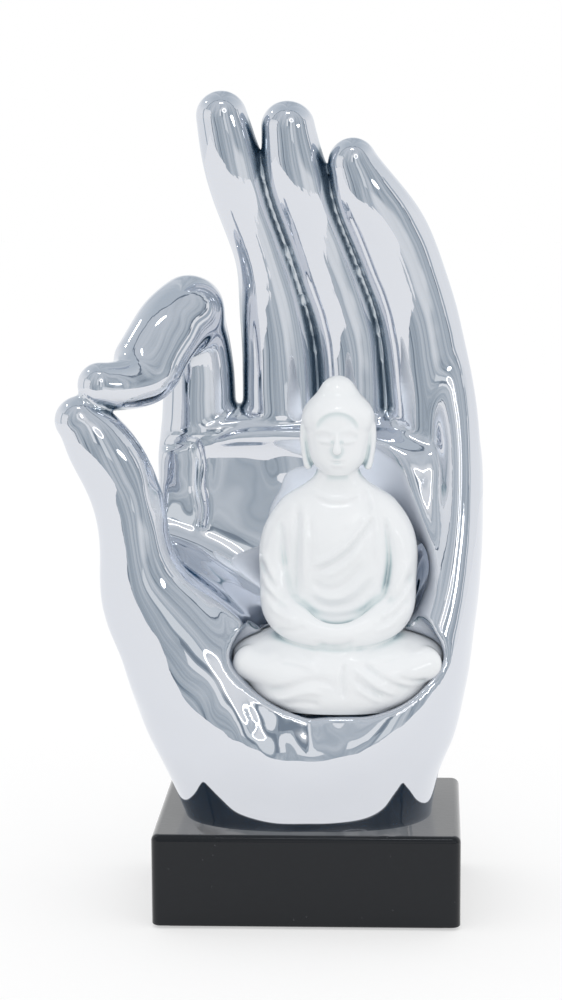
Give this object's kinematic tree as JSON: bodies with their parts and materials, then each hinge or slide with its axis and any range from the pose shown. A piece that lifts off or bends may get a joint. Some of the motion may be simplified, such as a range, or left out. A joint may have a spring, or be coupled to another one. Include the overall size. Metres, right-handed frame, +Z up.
{
  "type": "seated figure in cupped hand sculpture",
  "caption": "Tabletop sculpture: a mirror-plated hand with thumb and index joined holds a small white seated figure in its palm, on a black block plinth.",
  "frame": {"origin": "centre of the felt's underside, on the surface that the sculpture stands on", "axes": "+Z up along the sculpture's height, -Y to the front that the palm and the figure face, +X to the viewer's right"},
  "size_m": [0.1873, 0.1009, 0.3666],
  "materials": {
    "felt": "pressed black felt, matte",
    "lacquer": "satin black lacquer on fibreboard",
    "steel": "zinc-plated steel",
    "mirror_plating": "glazed stoneware, vacuum-metallised to a silver mirror",
    "plaster": "cast gypsum plaster, matte",
    "brass": "turned brass",
    "adhesive": "cured translucent silicone adhesive",
    "white_glaze": "opaque white glaze, glossy"
  },
  "bodies": {
    "root": {"underside_felt": "felt", "plinth_block": "lacquer", "bolt_left": "steel", "bolt_right": "steel", "washer_left": "steel", "washer_right": "steel", "hand_casting": "mirror_plating", "foot_plug": "plaster", "threaded_insert_left": "brass", "threaded_insert_right": "brass", "bond_pad_1": "adhesive", "bond_pad_2": "adhesive", "bond_pad_3": "adhesive", "seated_figure": "white_glaze"}
  },
  "joints": []
}
